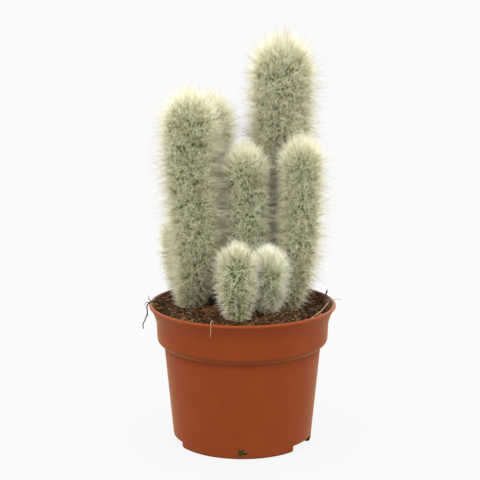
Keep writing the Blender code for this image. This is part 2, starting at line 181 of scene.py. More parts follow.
# The soil. Metres.
LUMP_HEIGHT = 1.5 * MM
CRUMBS = 2300
ROOT_MAT = 300  # short roots between the left stem and the front one
LOOSE_FIBRES = (  # number, kind, length in mm and radius in mm
    (700, "coir", 7.0, 0.14), (420, "red", 6.0, 0.15), (260, "dark", 6.0, 0.15), (110, "pale", 6.0, 0.11),
)
RIM_FIBRES = ((math.pi, 0.5, 130), (0.15, 0.4, 80), (0.0, math.pi, 60))  # middle, reach and number
FIBRE_ROWS = {"coir": (0, 30), "red": (30, 54), "dark": (54, 84), "pale": (84, 96)}
MOSS_LUMPS = 46

# Light, in units of radiance
WHITE = (1.0, 1.0, 1.0, 1.0)
BACKDROP = 0.955  # the world, to the camera
WORLD_LOW, WORLD_HIGH = 1.80, 1.95  # at the horizon and overhead
WORLD_FRONT, WORLD_BACK = 0.65, 1.4  # shares of that towards the front and the back
FLOOR_SEEN = (0.921, 0.95)  # the floor's glow and its share to the camera
FLOOR_UNSEEN = (0.35, 0.75)  # the same to all other rays
SHADE_RADIUS = 0.0350  # the floor under the pot doesn't glow within this
SOFTBOXES = (  # name, place, size, radiance
    ("top_softbox", (-0.20, -0.55, 1.30), 1.0, 1.7),
    ("left_softbox", (-1.1, -0.9, 0.7), 0.8, 1.5),
    ("right_softbox", (1.0, -0.8, 0.8), 0.8, 1.9),
)
LIGHT_AIM = Vector((0, 0, 0.12))


# ---- mesh helpers

def mesh_from(name, points, faces, loop_uv=None):
    """A smooth mesh from numpy arrays. faces is (n, 3) or (n, 4); loop_uv is (faces, corners, 2)."""
    corners = faces.shape[1]
    mesh = bpy.data.meshes.new(name)
    mesh.vertices.add(len(points))
    mesh.vertices.foreach_set("co", np.asarray(points, np.float32).ravel())
    mesh.loops.add(faces.size)
    mesh.loops.foreach_set("vertex_index", faces.astype(np.int32).ravel())
    mesh.polygons.add(len(faces))
    mesh.polygons.foreach_set("loop_start", np.arange(0, faces.size, corners, dtype=np.int32))
    mesh.polygons.foreach_set("use_smooth", np.full(len(faces), True))
    if loop_uv is not None:
        layer = mesh.uv_layers.new(name="OFBake")
        layer.data.foreach_set("uv", np.asarray(loop_uv, np.float32).ravel())
    mesh.update(calc_edges=True)
    return mesh


def ring_faces(rows, around):
    """Indexes of the points of closed rings, the same one step on, and the quads between rings."""
    rings = np.arange(rows * around).reshape(rows, around)
    right = np.roll(rings, -1, axis=1)
    return rings, right, np.stack([rings[:-1], right[:-1], right[1:], rings[1:]], axis=-1).reshape(-1, 4)


def mesh_of(shape, name):
    """A new mesh from a bmesh, which is freed."""
    mesh = bpy.data.meshes.new(name)
    shape.to_mesh(mesh)
    shape.free()
    return mesh


def linked(name, data):
    """A new object in the scene."""
    made = bpy.data.objects.new(name, data)
    bpy.context.scene.collection.objects.link(made)
    return made


def add_piece(name, mesh, material, replaced=()):
    piece = linked(name, mesh)
    mesh.materials.append(material)
    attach(piece, "root")
    if replaced:
        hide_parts(*replaced)
    return piece


def corners_of(name):
    """The corner points of a CAD node, as an array."""
    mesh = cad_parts[name].data
    points = np.empty(3 * len(mesh.vertices))
    mesh.vertices.foreach_get("co", points)
    return points.reshape(-1, 3)


def polar(radius, angle):
    """x and y of the place at this radius and angle about the pot's axis."""
    return radius * math.cos(angle), radius * math.sin(angle)


def unit(vectors):
    return vectors / np.linalg.norm(vectors, axis=-1, keepdims=True)


def side_frame(direction, rng):
    """Two unit vectors square to each direction, turned at random about it."""
    helper = unit(rng.normal(size=direction.shape))
    first = unit(np.cross(direction, helper))
    return first, np.cross(direction, first)


# ---- node helpers

class Nodes:
    """The node tree of a new material or world, with short calls that add and link nodes."""

    def __init__(self, name, kind="materials"):
        self.owner = getattr(bpy.data, kind).new(name)
        self.owner.use_nodes = True
        self.tree = self.owner.node_tree
        self.shader = self.tree.nodes.get("Principled BSDF")

    def add(self, kind, inputs=(), **settings):
        node = self.tree.nodes.new("ShaderNode" + kind)
        for key, value in settings.items():
            setattr(node, key, value)
        for key, value in dict(inputs).items():
            self.feed(node.inputs[key], value)
        return node

    def feed(self, socket, value):
        if isinstance(value, bpy.types.NodeSocket):
            self.tree.links.new(value, socket)
        else:
            socket.default_value = value

    def ramp(self, factor, stops, interpolation="LINEAR"):
        """A colour ramp. Each stop is a place and a colour, or a place and a grey."""
        node = self.add("ValToRGB", {"Fac": factor})
        node.color_ramp.interpolation = interpolation
        elements = node.color_ramp.elements
        for i, (place, colour) in enumerate(stops):
            element = elements[i] if i < 2 else elements.new(place)
            element.position = place
            element.color = (*(colour if isinstance(colour, tuple) else [colour] * 3), 1.0)
        return node.outputs["Color"]

    def noise(self, scale, detail=4.0, roughness=0.6):
        inputs = {"Vector": self.place(), "Scale": scale, "Detail": detail, "Roughness": roughness}
        return self.add("TexNoise", inputs).outputs["Fac"]

    def place(self):
        return self.add("TexCoord").outputs["Object"]

    def camera_ray(self):
        return self.add("LightPath").outputs["Is Camera Ray"]

    def spread(self, value, low, high, start=0.0):
        """value, taken from the range start to 1 into the range low to high."""
        inputs = {"Value": value, "From Min": start, "To Min": low, "To Max": high}
        return self.add("MapRange", inputs).outputs["Result"]

    def palette(self):
        """How far along a bristle or thread a point is, and its place in the palette."""
        uv = self.add("UVMap", uv_map="OFBake").outputs["UV"]
        parts = self.add("SeparateXYZ", {"Vector": uv})
        return parts.outputs["X"], parts.outputs["Y"]

    def mix(self, factor, first, second):
        node = self.add("Mix", data_type="RGBA")
        for socket, value in zip((node.inputs[0], node.inputs[6], node.inputs[7]), (factor, first, second)):
            if isinstance(value, tuple):
                value = (*value, 1.0)
            self.feed(socket, value)
        return node.outputs[2]

    def maths(self, operation, first, second=0.0):
        node = self.add("Math", operation=operation)
        self.feed(node.inputs[0], first)
        self.feed(node.inputs[1], second)
        return node.outputs[0]

    def bump(self, height, strength, distance):
        node = self.add("Bump", {"Height": height, "Strength": strength, "Distance": distance})
        self.feed(self.shader.inputs["Normal"], node.outputs["Normal"])

    def set(self, **values):
        for key, value in values.items():
            name = key.replace("_", " ")
            if isinstance(value, tuple):
                value = (*value, 1.0)
            self.feed(self.shader.inputs[name], value)


def bristle_material():
    """Colours a bristle by its row of the palette, from its root to its tip."""
    nodes = Nodes("bristles")
    along, row = nodes.palette()
    roots, tips, start = [], [], 0.0
    for _, end, root, tip in BRISTLE_COLOURS:
        roots += [(start, root), (end - PALETTE_BLEND, root)]
        tips += [(start, tip), (end - PALETTE_BLEND, tip)]
        start = end
    whole = nodes.mix(along, nodes.ramp(row, roots), nodes.ramp(row, tips))
    nodes.set(Base_Color=whole, Roughness=0.5, Specular_IOR_Level=0.2)
    return nodes.owner


def skin_material(name, dark, light):
    """Flesh with fine mottling and some dry brown patches."""
    nodes = Nodes("skin_" + name)
    fine = nodes.noise(900.0, 5.0, 0.65)
    broad = nodes.noise(70.0, 4.0, 0.6)
    flesh = nodes.ramp(fine, [(0.3, dark), (0.7, light)])
    dry = nodes.ramp(broad, [(0.60, 0.0), (0.72, 0.7)])
    nodes.set(Base_Color=nodes.mix(dry, flesh, (0.16, 0.10, 0.035)), Roughness=0.6)
    nodes.set(Specular_IOR_Level=0.2)
    nodes.bump(fine, 0.4, 0.0003)
    return nodes.owner


# ---- stems

class Core:
    """A stem's flesh, measured from its CAD node: middle line, height and radius along the meridian."""

    def __init__(self, name, ground):
        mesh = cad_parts[name].data
        points = corners_of(name)
        edges = np.empty(2 * len(mesh.edges), np.int32)
        mesh.edges.foreach_get("vertices", edges)
        first, second = points[edges[0::2]], points[edges[1::2]]
        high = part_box(name)[1]
        heights = high.z - (high.z - ground) * (1 - np.linspace(0, 0.997, 90)) ** 1.6  # closer at the top
        rows = []
        for height in heights:
            across = (first[:, 2] - height) * (second[:, 2] - height) < 0
            a, b = first[across], second[across]
            share = (height - a[:, 2]) / (b[:, 2] - a[:, 2])
            ring = a[:, :2] + (b - a)[:, :2] * share[:, None]
            centre = (ring.min(0) + ring.max(0)) / 2
            rows.append((*centre, height, np.linalg.norm(ring - centre, axis=1).max()))
        rows = np.array(rows)
        cap = rows[-1].copy()
        cap[2] = high.z + 0.3 * MM
        cap[3] = 0.0
        self.rows = np.vstack([rows, cap])
        steps = np.hypot(np.diff(self.rows[:, 2]), np.diff(self.rows[:, 3]))
        self.along = np.concatenate([[0.0], np.cumsum(steps)])
        self.length = self.along[-1]
        self.radius = self.rows[:, 3].max()

    def at(self, s):
        """x, y, z and radius at a place measured along the meridian."""
        return [np.interp(s, self.along, self.rows[:, i]) for i in range(4)]

    def surface(self, s, angle, share=1.0):
        """A point at this share of the radius."""
        x, y, z, radius = self.at(s)
        radius = radius * share
        return np.stack([x + radius * np.cos(angle), y + radius * np.sin(angle), z], axis=-1)

    def frame_at(self, s, angle):
        """Point, outward normal, up tangent and side tangent on the crest surface."""
        step = 0.4 * MM
        up = unit(self.surface(s + step, angle) - self.surface(s - step, angle))
        side = np.stack([-np.sin(angle), np.cos(angle), np.zeros_like(angle)], axis=-1)
        normal = unit(np.cross(side, up))
        return self.surface(s, angle), normal, up, np.cross(up, normal)


def rib_valley(angle, ribs):
    """0 on a rib's crest to 1 in the valley."""
    return (0.5 - 0.5 * np.cos(angle * ribs)) ** 0.8


def make_skin(name, core, coat, material):
    """Ribbed flesh with a slight swelling under each row of areoles."""
    around, up = coat.ribs * 8, 150
    angle = np.linspace(0, math.tau, around, endpoint=False)
    s = core.length * np.linspace(0, 1, up) ** 0.9
    s[-1] = core.length * 0.998
    grid_s, grid_angle = np.meshgrid(s, angle, indexing="ij")
    tubercle = 0.5 + 0.5 * np.cos(math.tau * grid_s / (coat.spacing * MM))
    share = 1 - 0.13 * rib_valley(grid_angle, coat.ribs) - 0.025 * tubercle
    points = core.surface(grid_s, grid_angle, share).reshape(-1, 3)
    rings, _, quads = ring_faces(up, around)
    u, v = np.linspace(0, 1, around + 1), s / core.length
    uv = np.empty((up - 1, around, 4, 2))
    uv[..., 0, 0] = uv[..., 3, 0] = u[:-1]
    uv[..., 1, 0] = uv[..., 2, 0] = u[1:]
    uv[..., 0, 1] = uv[..., 1, 1] = v[:-1, None]
    uv[..., 2, 1] = uv[..., 3, 1] = v[1:, None]
    mesh = mesh_from(name, points, quads, uv.reshape(-1, 4, 2))
    close_ends(mesh, rings[0], rings[-1])
    add_piece(name, mesh, material, [name.replace("_skin", "")])


def close_ends(mesh, bottom, top):
    """Fills the first and last rings of a tube mesh, so that it is closed."""
    shape = bmesh.new()
    shape.from_mesh(mesh)
    shape.verts.ensure_lookup_table()
    shape.faces.new([shape.verts[i] for i in reversed(bottom.tolist())])
    shape.faces.new([shape.verts[i] for i in top.tolist()])
    shape.to_mesh(mesh)
    shape.free()


# ---- bristles

def palette_row(kinds, rng):
    """A row of the palette for each bristle, from the index of its colour."""
    ends = np.array([entry[1] for entry in BRISTLE_COLOURS])
    starts = np.concatenate([[0.0], ends[:-1]])
    place = starts[kinds] + (ends - starts)[kinds] * rng.random(len(kinds))
    return np.minimum(np.floor(place * PALETTE_ROWS), PALETTE_ROWS - 1)


def needles(base, tip, radius, rows, rng, bend=None):
    """Points, faces and corner UVs of three-sided needles. bend moves each needle's middle."""
    count = len(base)
    first, second = side_frame(unit(tip - base), rng)
    levels = [(base, 1.0)]
    if bend is not None:
        levels.append(((base + tip) / 2 + bend, 0.75))
    rings = []
    for place, share in levels:
        for turn in (0, math.tau / 3, 2 * math.tau / 3):
            offset = first * math.cos(turn) + second * math.sin(turn)
            rings.append(place + offset * (radius * share)[:, None])
    points = np.stack([*rings, tip], axis=1)
    top = len(rings)
    low, high = rows / PALETTE_ROWS, (rows + 1) / PALETTE_ROWS
    faces, uv = [(0, 2, 1)], [((0.0, low), (0.02, high), (0.0, high))]
    for a, b in ((0, 1), (1, 2), (2, 0)):
        u = 0.0
        if bend is not None:
            faces += [(a, b, b + 3), (a, b + 3, a + 3)]
            uv += [((0.0, low), (0.0, high), (0.5, high)), ((0.0, low), (0.5, high), (0.5, low))]
            a, b, u = a + 3, b + 3, 0.5
        faces.append((a, b, top))
        uv.append(((u, low), (u, high), (1.0, (low + high) / 2)))
    all_faces = np.array(faces)[None] + (np.arange(count) * (top + 1))[:, None, None]
    all_uv = np.empty((count, len(faces), 3, 2))
    for i, corners in enumerate(uv):
        for j, (along, row) in enumerate(corners):
            all_uv[:, i, j, 0] = along
            all_uv[:, i, j, 1] = row
    return points.reshape(-1, 3), all_faces.reshape(-1, 3), all_uv.reshape(-1, 3, 2)


def joined(parts):
    """One array of points, one of faces and, if the parts have them, one of UVs."""
    columns = list(zip(*parts))
    starts = np.cumsum([0, *map(len, columns[0])])
    columns[1] = [faces + start for faces, start in zip(columns[1], starts)]
    return [np.concatenate(column) for column in columns]


def areole_places(core, coat, rng):
    """(s, angle) of each areole: evenly spaced along the ribs, closer together on the dome."""
    found = []
    for rib in range(coat.ribs):
        s = ((rib * 0.618) % 1.0) * coat.spacing * MM
        while s < core.length - 1.2 * MM:
            left = core.length - s
            found.append((s, rib * math.tau / coat.ribs))
            crowd = min(1.0, 0.30 + 0.70 * left / (1.3 * core.radius))
            s += coat.spacing * MM * crowd * (0.93 + 0.14 * rng.random())
    places = np.array(found)
    keep = core.at(places[:, 0])[3] > 0.22 * core.radius
    return places[keep]


def spray(core, places, bristles, lift, layer, rng):
    """Root, tip, youth and place on the stem of each bristle of one layer.

    bristles is the number from each areole and their length. Youth is 0 on old growth and 1 at the
    growing tip, where the bristles stand up along the stem. Those just over the soil are short.
    """
    count, length = bristles
    s = np.repeat(places[:, 0], count)
    angle = np.repeat(places[:, 1], count)
    point, normal, up, side = core.frame_at(s, angle)
    total = len(s)
    around = rng.random(total) * math.tau
    youth = np.clip(1 - (core.length - s) / (YOUNG_ZONE * core.radius), 0, 1)
    lift = lift + YOUNG_LIFT * youth + layer.spread * rng.normal(size=total)
    lift = np.radians(np.clip(lift, *LIFT_LIMITS))
    flat = side * np.cos(around)[:, None] + up * np.sin(around)[:, None]
    direction = flat * np.cos(lift)[:, None] + normal * np.sin(lift)[:, None]
    lean = np.repeat(rng.normal(size=(len(places), 3)), count, axis=0) * CLUMPING
    direction = unit(direction + lean * (1 - youth)[:, None] + up * (YOUNG_RISE * youth)[:, None])
    reach = min(BASE_GROWTH, 0.45 * core.length)
    growth = np.sin(np.clip((s - SOIL_COVER) / reach, 0, 1) * math.pi / 2)
    size = length * (SHORTEST + (1 - SHORTEST) * growth) * (1 - layer.vary * rng.random(total)) * MM
    stray = side * rng.normal(size=(total, 1)) + up * rng.normal(size=(total, 1))
    root = point + stray * layer.scatter * MM - normal * ROOT_DEPTH
    return root, root + direction * size[:, None], youth, s


def thickness(count, layer, rng, power=1):
    """Radii of a layer's bristles. With a higher power fewer of them are thick."""
    return (layer.least_radius + layer.more_radius * rng.random(count) ** power) * MM


def choose(rng, count, shares):
    """Colour indexes drawn with these shares, in the palette's order."""
    shares = np.array(shares, float)
    return rng.choice(len(shares), size=count, p=shares / shares.sum())


def dry_patch(points):
    """How dry the growth is at each point, from 0 to 1: brown patches a few millimetres across."""
    values = np.array([noise.noise(Vector(p) * 75.0) for p in points.tolist()])
    return np.clip((values - 0.36) / 0.16, 0, 1)


def coat_colours(base, youth, s, core, shares, rng):
    """Palette rows: young growth is warmer, old growth yellower, and dry patches are brown."""
    count = len(base)
    kinds = choose(rng, count, shares)
    young = youth > 0.15 + 0.7 * rng.random(count)
    kinds[young] = choose(rng, young.sum(), YOUNG_SHARES)
    old = OLD_MOST * (1 - s / (OLD_ZONE * core.length)) > rng.random(count)
    kinds[old] = choose(rng, old.sum(), OLD_SHARES)
    dry = DRY_MOST * dry_patch(base) > rng.random(count)
    kinds[dry] = choose(rng, dry.sum(), DRY_SHARES)
    return palette_row(kinds, rng)


def bends(count, amount, rng):
    """How far each needle's middle is moved, or None for straight ones."""
    return rng.normal(size=(count, 3)) * amount * MM if amount else None


def make_bristles(name, core, coat, material, seed):
    """The coat as two pieces: the strokes with the down, and the spines with the tuft."""
    rng = np.random.default_rng(seed)
    places = areole_places(core, coat, rng)
    base, tip, youth, s = spray(core, places, coat.strokes, STROKE_LIFT, STROKES, rng)
    radius = thickness(len(base), STROKES, rng, 2)
    strokes = needles(base, tip, radius, coat_colours(base, youth, s, core, STROKE_SHARES, rng), rng)

    base, tip, youth, s = spray(core, places, coat.down, coat.down_lift, DOWN, rng)
    radius = thickness(len(base), DOWN, rng)
    rows = coat_colours(base, youth, s, core, DOWN_SHARES, rng)
    down = needles(base, tip, radius, rows, rng, bends(len(base), coat.bend, rng))
    add_piece(f"{name}_bristles", mesh_from(name, *joined([strokes, down])), material)

    base, tip, _, _ = spray(core, places, coat.spines, SPINE_LIFT, SPINES, rng)
    radius = thickness(len(base), SPINES, rng)
    rows = palette_row(choose(rng, len(base), coat.spine_shares), rng)
    spines = needles(base, tip, radius, rows, rng, bends(len(base), 0.5 * coat.bend, rng))
    tuft = make_tuft(core, coat, rng)
    add_piece(f"{name}_spines", mesh_from(name, *joined([spines, tuft])), material)


def make_tuft(core, coat, rng):
    """The young bristles that stand up from the growing tip."""
    count, longest = coat.tuft
    s = core.length - (TUFT_ZONE * core.radius * rng.random(count) ** 0.8)
    angle = rng.random(count) * math.tau
    point, normal, _, _ = core.frame_at(s, angle)
    rise = np.array([0.0, 0.0, TUFT_RISE])
    direction = unit(normal + rise + rng.normal(size=point.shape) * TUFT_SPREAD)
    length = longest * (0.35 + 0.65 * rng.random(count) ** 0.8) * MM
    base = point - normal * ROOT_DEPTH
    rows = palette_row(choose(rng, count, coat.tuft_shares), rng)
    radius = (0.06 + 0.04 * rng.random(count)) * MM
    tip = base + direction * length[:, None]
    return needles(base, tip, radius, rows, rng, bends(count, coat.bend, rng))


def make_stems():
    skins = {name: skin_material(name, *colours) for name, colours in SKIN_COLOURS.items()}
    bristles = bristle_material()
    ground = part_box("soil")[1].z - SOIL_COVER
    for seed, (name, coat) in enumerate(COATS.items(), 100):
        core = Core(name, ground)
        make_skin(f"{name}_skin", core, coat, skins[coat.skin])
        make_bristles(name, core, coat, bristles, seed)


# ---- pot

def arc(centre, radius, start, end, count):
    """(radius, height) of points round part of a circle, in degrees."""
    turn = np.radians(np.linspace(start, end, count))
    return np.array(centre) + radius * np.stack([np.cos(turn), np.sin(turn)], axis=1)


def pot_profile():
    """(radius, height) round the pot's wall: up the inside, over the lip, down the outside and under."""
    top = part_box("pot")[1].z
    t = np.linspace(0, 1, CURVE_POINTS)
    flare_r = BAND_RADIUS + (FLARE_TOP_RADIUS - BAND_RADIUS) * (1 - t) ** FLARE_CURVE
    flare = np.stack([flare_r, top - FLARE_DROP - FLARE_HEIGHT * t], axis=1)
    full = math.radians(SHOULDER_TURN)
    inward = (1 - np.cos(full * t)) / (1 - math.cos(full))
    downward = np.sin(full * t) / math.sin(full)
    shoulder_r = BAND_FOOT_RADIUS + (BODY_TOP_RADIUS - BAND_FOOT_RADIUS) * inward
    shoulder = np.stack([shoulder_r, top - BAND_DEPTH - SHOULDER_HEIGHT * downward], axis=1)
    body_z = np.linspace(top - BAND_DEPTH - SHOULDER_HEIGHT, FOOT_ROUND, BODY_POINTS)[1:]
    body_r = BODY_FOOT_RADIUS + (BODY_TOP_RADIUS - BODY_FOOT_RADIUS) * body_z / body_z[0]
    side = np.vstack([flare, shoulder, np.stack([body_r, body_z], axis=1)])
    run = unit(np.gradient(side, axis=0))
    inner = side + np.stack([run[:, 1], -run[:, 0]], axis=1) * WALL
    floor_top = FOOT_HEIGHT + FLOOR_THICKNESS
    inner = inner[(inner[:, 1] > floor_top + 2 * CORNER) & (inner[:, 1] < top - FLARE_DROP)]
    lip = arc((LIP_RADIUS - LIP_ROUND, top - LIP_ROUND), LIP_ROUND, *LIP_ARC)
    foot_r = body_r[-1] - FOOT_ROUND
    foot = arc((foot_r, FOOT_ROUND), FOOT_ROUND, *FOOT_ARC)
    foot_inner = foot_r - FOOT_WIDTH
    under = np.array([(foot_inner, 0.0), (foot_inner - CORNER, FOOT_HEIGHT), (0.0, FOOT_HEIGHT)])
    start = np.array([(0.0, floor_top), (inner[-1, 0] - CORNER, floor_top)])
    return np.vstack([start, inner[::-1], lip, side, foot, under])


def turned(name, profile, steps):
    """A closed mesh that is the profile turned about Z. Its first and last points lie on the axis."""
    angle = np.linspace(0, math.tau, steps, endpoint=False)
    inner = profile[1:-1]
    points = [(*polar(radius, turn), height) for radius, height in inner for turn in angle]
    points += [(0, 0, profile[0, 1]), (0, 0, profile[-1, 1])]
    rings, right, quads = ring_faces(len(inner), steps)
    shape = bmesh.new()
    verts = [shape.verts.new(p) for p in points]
    for corners in quads:
        shape.faces.new([verts[c] for c in corners])
    for i in range(steps):
        shape.faces.new([verts[-2], verts[rings[0, i]], verts[right[0, i]]])
        shape.faces.new([verts[-1], verts[right[-1, i]], verts[rings[-1, i]]])
    bmesh.ops.recalc_face_normals(shape, faces=shape.faces)
    return mesh_of(shape, name)


def pot_cutters():
    """All that is cut out of the pot's foot and floor, as one mesh."""
    shape = bmesh.new()
    for angles, size, height in ((NOTCHES, NOTCH_SIZE, 0.0), (SLOTS, SLOT_SIZE, FOOT_HEIGHT)):
        for angle in angles:
            made = bmesh.ops.create_cube(shape, size=1.0)["verts"]
            bmesh.ops.scale(shape, vec=size, verts=made)
            bmesh.ops.rotate(shape, matrix=Matrix.Rotation(math.radians(angle), 3, "Z"), verts=made)
            place = Vector((*polar(BODY_FOOT_RADIUS, math.radians(angle - 90)), height))
            bmesh.ops.translate(shape, vec=place, verts=made)
    for i in range(FLOOR_HOLES + 1):  # a ring of holes, and one on the axis
        turn = math.radians(i * 360 / FLOOR_HOLES - 90)
        made = bmesh.ops.create_cone(
            shape, cap_ends=True, segments=32, radius1=FLOOR_HOLE_RADIUS, radius2=FLOOR_HOLE_RADIUS,
            depth=FLOOR_HOLE_DEPTH,
        )["verts"]
        place = Vector((*polar(FLOOR_HOLE_RING if i else 0.0, turn), FOOT_HEIGHT))
        bmesh.ops.translate(shape, vec=place, verts=made)
    return mesh_of(shape, "pot_cutters")


def make_pot():
    shell = turned("pot_shell", pot_profile(), POT_STEPS)
    pot = add_piece("pot_shell", shell, pot_material(), ["pot"])
    cutters = linked("pot_cutters", pot_cutters())
    cut = pot.modifiers.new("cut", "BOOLEAN")
    cut.operation = "DIFFERENCE"
    cut.solver = "EXACT"
    cut.object = cutters
    graph = bpy.context.evaluated_depsgraph_get()
    mesh = bpy.data.meshes.new_from_object(pot.evaluated_get(graph))
    pot.modifiers.clear()
    pot.data = mesh
    bpy.data.objects.remove(cutters)
    mesh.shade_smooth()
    mesh.set_sharp_from_angle(angle=math.radians(SHARP_ANGLE))


# ---- soil

class Ground:
    """The CAD soil's surface, its edge and the feet of the stems in it."""

    def __init__(self):
        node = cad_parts["soil"]
        self.tree = BVHTree.FromObject(node, bpy.context.evaluated_depsgraph_get())
        self.low, self.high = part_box("soil")
        self.edge = self.high.x
        self.feet = []
        for name in COATS:
            points = corners_of(name)
            foot = points[points[:, 2] < points[:, 2].min() + 4 * MM]
            centre = (foot.min(0) + foot.max(0)) / 2
            self.feet.append((centre[0], centre[1], (foot.max(0) - foot.min(0))[0] / 2))

    def height(self, x, y):
        """The soil's height at a place. A socket counts as level ground."""
        hit = self.tree.ray_cast(Vector((x, y, 0.2)), Vector((0, 0, -1)))
        low = self.high.z - 4 * MM
        return hit[0].z if hit[0] and hit[0].z > low else self.high.z - 1.5 * MM

    def side_outline(self):
        """(radius, height) down the side of the CAD soil, from under its surface to its floor."""
        points = corners_of("soil")
        radius = np.hypot(points[:, 0], points[:, 1])
        found = []
        for height in np.unique(np.round(points[:, 2], 4))[::-1]:
            widest = radius[np.abs(points[:, 2] - height) < 0.06 * MM].max()
            least = (0.9405 if height > 0.07 else 0.665) * self.edge  # leaves the sockets out
            if height < self.high.z - 5 * MM and widest > least:
                found.append((widest, height))
        return found

    def clear(self, x, y, room):
        """Whether a place is this far from every stem's foot."""
        return all(math.hypot(x - fx, y - fy) > r + room for fx, fy, r in self.feet)


def soil_noise(x, y, amount):
    """Lumps of peat, coarse and fine, as a height."""
    coarse = noise.fractal(Vector((x * 120, y * 120, 3.1)), 0.6, 2.1, 5)
    cell = noise.cell(Vector((x * 600, y * 600, 0.7)))
    return amount * (0.9 * coarse + 0.12 * cell)


def make_soil_bed(ground, material):
    """The lumpy top of the soil and its plain side, which follows the inside of the pot."""
    rings, around = 110, 300
    angles = np.linspace(0, math.tau, around, endpoint=False)
    rows = []
    for i in range(1, rings + 1):
        radius = (ground.edge - 0.1 * MM) * (i / rings) ** 0.9
        rough = 0.3 + 0.7 * min(1.0, (ground.edge - radius) / (2.5 * MM))
        inside = 0.985 if i == rings else 1.0  # the last ring is measured just inside the edge
        for angle in angles:
            x, y = polar(radius, angle)
            z = ground.height(x * inside, y * inside) + soil_noise(x, y, LUMP_HEIGHT) * rough
            rows.append((x, y, z))
    outline = ground.side_outline()
    for radius, height in outline:
        rows += [(*polar(radius - 0.2 * MM, angle), height) for angle in angles]
    hub, pit = len(rows), len(rows) + 1
    points = np.array(rows + [(0.0, 0.0, ground.height(0, 0)), (0.0, 0.0, ground.low.z + 0.4 * MM)])
    index, right, quads = ring_faces(rings + len(outline), around)
    top = np.stack([np.full(around, hub), index[0], right[0]], axis=1)
    base = np.stack([np.full(around, pit), right[-1], index[-1]], axis=1)
    faces = np.vstack([quads[:, [0, 3, 2]], quads[:, [0, 2, 1]], top, base])
    add_piece("soil_bed", mesh_from("soil_bed", points, faces), material, ["soil"])


def clod_shape(seed):
    """Points and faces of a small irregular lump of unit size."""
    shape = bmesh.new()
    bmesh.ops.create_icosphere(shape, subdivisions=2, radius=1.0)
    for vertex in shape.verts:
        bump = noise.fractal(vertex.co * 1.3 + Vector((seed * 7.3, 0, 0)), 0.6, 2.0, 3)
        vertex.co *= 1 + 0.45 * bump
    points = np.array([v.co for v in shape.verts])
    faces = np.array([[v.index for v in f.verts] for f in shape.faces])
    shape.free()
    return points, faces


def random_turns(count, rng):
    """Random rotation matrices."""
    return np.array([Quaternion(turn).to_matrix() for turn in unit(rng.normal(size=(count, 4)))])


def scatter(ground, count, rng, room=0.0, reach=1.0):
    """Places on the soil, room away from the stems' feet and within a share reach of its radius."""
    found = []
    while len(found) < count:
        radius = (ground.edge - 0.8 * MM) * math.sqrt(rng.random()) * reach
        angle = rng.random() * math.tau
        x, y = polar(radius, angle)
        if ground.clear(x, y, room):
            found.append((x, y, ground.height(x, y) + soil_noise(x, y, 1.2 * MM)))
    return np.array(found)


def make_crumbs(ground, material):
    rng = np.random.default_rng(41)
    places = scatter(ground, CRUMBS, rng, 0.2 * MM)
    size = (0.30 + 1.7 * rng.random(CRUMBS) ** 3) * MM
    stretch = 0.55 + 0.9 * rng.random((CRUMBS, 3))
    shapes = [clod_shape(i) for i in range(6)]
    turns = random_turns(CRUMBS, rng)
    parts = []
    for i in range(CRUMBS):
        shape, triangles = shapes[i % len(shapes)]
        parts.append(((shape * stretch[i] * size[i]) @ turns[i].T + places[i], triangles))
    add_piece("soil_crumbs", mesh_from("soil_crumbs", *joined(parts)), material)


def thread(line, radius, row, sides=4):
    """Points, faces and corner UVs of one thin tube along a line, closed at its ends."""
    line = np.asarray(line)
    run = unit(np.gradient(line, axis=0))
    first = unit(np.cross(run, (0.31, 0.45, 0.84)))  # any direction that no thread runs along
    second = np.cross(run, first)
    count = len(line)
    width = np.asarray(radius) * np.ones(count)
    turn = np.linspace(0, math.tau, sides, endpoint=False)
    ring = first[:, None] * np.cos(turn)[None, :, None] + second[:, None] * np.sin(turn)[None, :, None]
    points = (line[:, None] + ring * width[:, None, None]).reshape(-1, 3)
    low, high = row / PALETTE_ROWS, (row + 1) / PALETTE_ROWS
    faces, uv = [], []
    for i in range(count - 1):
        u0, u1 = i / (count - 1), (i + 1) / (count - 1)
        for j in range(sides):
            k = (j + 1) % sides
            a, b, c, d = i * sides + j, i * sides + k, (i + 1) * sides + k, (i + 1) * sides + j
            faces += [(a, b, c), (a, c, d)]
            uv += [((u0, low), (u0, high), (u1, high)), ((u0, low), (u1, high), (u1, low))]
    end = (count - 1) * sides
    for j in range(1, sides - 1):
        faces += [(0, j + 1, j), (end, end + j, end + j + 1)]
        uv += [((0, low), (0.02, high), (0, high)), ((1, low), (0.98, low), (1, high))]
    return points, np.array(faces), np.array(uv, float)


def curl(start, heading, length, wander, steps, rng):
    """A wandering line that stays near the height it starts at."""
    place, heading = np.array(start, float), np.array(heading, float)
    line = [place.copy()]
    turn = rng.normal(size=3) * wander
    for _ in range(steps - 1):
        turn = 0.75 * turn + rng.normal(size=3) * wander * 0.6
        heading = unit(heading + turn * np.array([1, 1, 0.5]))
        place = place + heading * length / (steps - 1)
        line.append(place.copy())
    return np.array(line)


def fibre_material():
    """Colours a thread by its row: coir, then red, dark and pale fibres, as in FIBRE_ROWS."""
    nodes = Nodes("fibres")
    stops = [
        (0.00, (0.48, 0.26, 0.090)), (0.30, (0.24, 0.11, 0.034)), (0.32, (0.28, 0.095, 0.025)),
        (0.55, (0.11, 0.036, 0.010)), (0.57, (0.040, 0.022, 0.012)), (0.86, (0.018, 0.012, 0.008)),
        (0.88, (0.50, 0.38, 0.20)), (1.00, (0.62, 0.52, 0.34)),
    ]
    colour = nodes.ramp(nodes.palette()[1], stops)
    nodes.set(Base_Color=colour, Roughness=0.75, Specular_IOR_Level=0.25)
    return nodes.owner


def fibre_row(kind, rng):
    low, high = FIBRE_ROWS[kind]
    return float(rng.integers(low + 1, high - 1))


